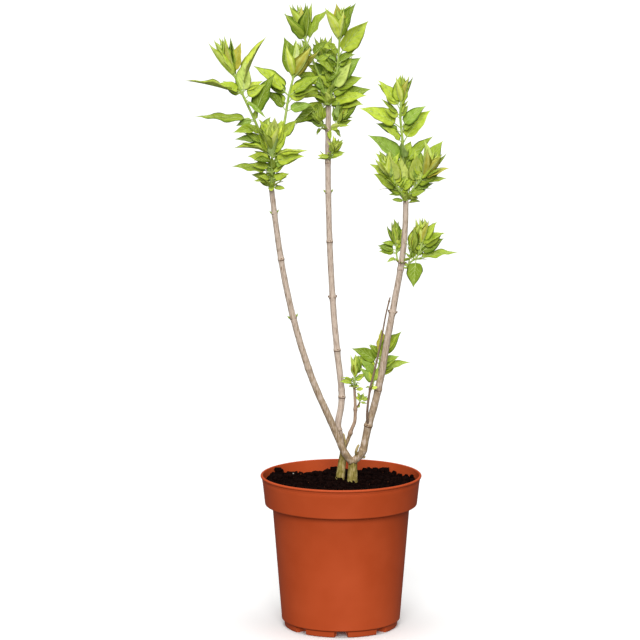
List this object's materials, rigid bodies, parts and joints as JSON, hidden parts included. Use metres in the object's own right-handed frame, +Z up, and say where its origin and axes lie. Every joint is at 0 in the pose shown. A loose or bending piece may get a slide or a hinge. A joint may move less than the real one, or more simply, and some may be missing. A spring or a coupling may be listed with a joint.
{
  "type": "lilac bush in a pot",
  "caption": "Young lilac bush with slender bare stems and leafy spring shoots at their tips, growing in a round plastic nursery pot.",
  "frame": {"origin": "centre of the pot's flat underside", "axes": "+Z up along the pot's axis, -Y towards the picture's camera, +X to the right in the picture"},
  "size_m": [0.3105, 0.19, 0.7342],
  "materials": {
    "pot": "satin moulded polypropylene, terracotta",
    "soil": "loose dark peat and bark",
    "bark": "smooth pale bark with fine lenticels",
    "leaves": "soft satin leaf"
  },
  "bodies": {
    "root": {"pot": "pot", "soil": "soil", "trunk_front": "bark", "trunk_back": "bark", "stem_left": "bark", "stem_middle": "bark", "stem_right": "bark", "stem_small": "bark", "twig_thin": "bark", "stub_back": "bark", "stub_front": "bark", "stub_side": "bark", "foliage_left_outer": "leaves", "foliage_left_inner": "leaves", "foliage_left_centre": "leaves", "foliage_middle_left": "leaves", "foliage_middle_right": "leaves", "foliage_middle_centre": "leaves", "foliage_middle_side_left": "leaves", "foliage_middle_side_right": "leaves", "foliage_middle_low": "leaves", "foliage_right_centre": "leaves", "foliage_right_left": "leaves", "foliage_right_right": "leaves", "foliage_right_mid_left": "leaves", "foliage_right_mid_right": "leaves", "foliage_lower": "leaves", "foliage_small": "leaves", "foliage_small_buds": "leaves"}
  },
  "joints": []
}
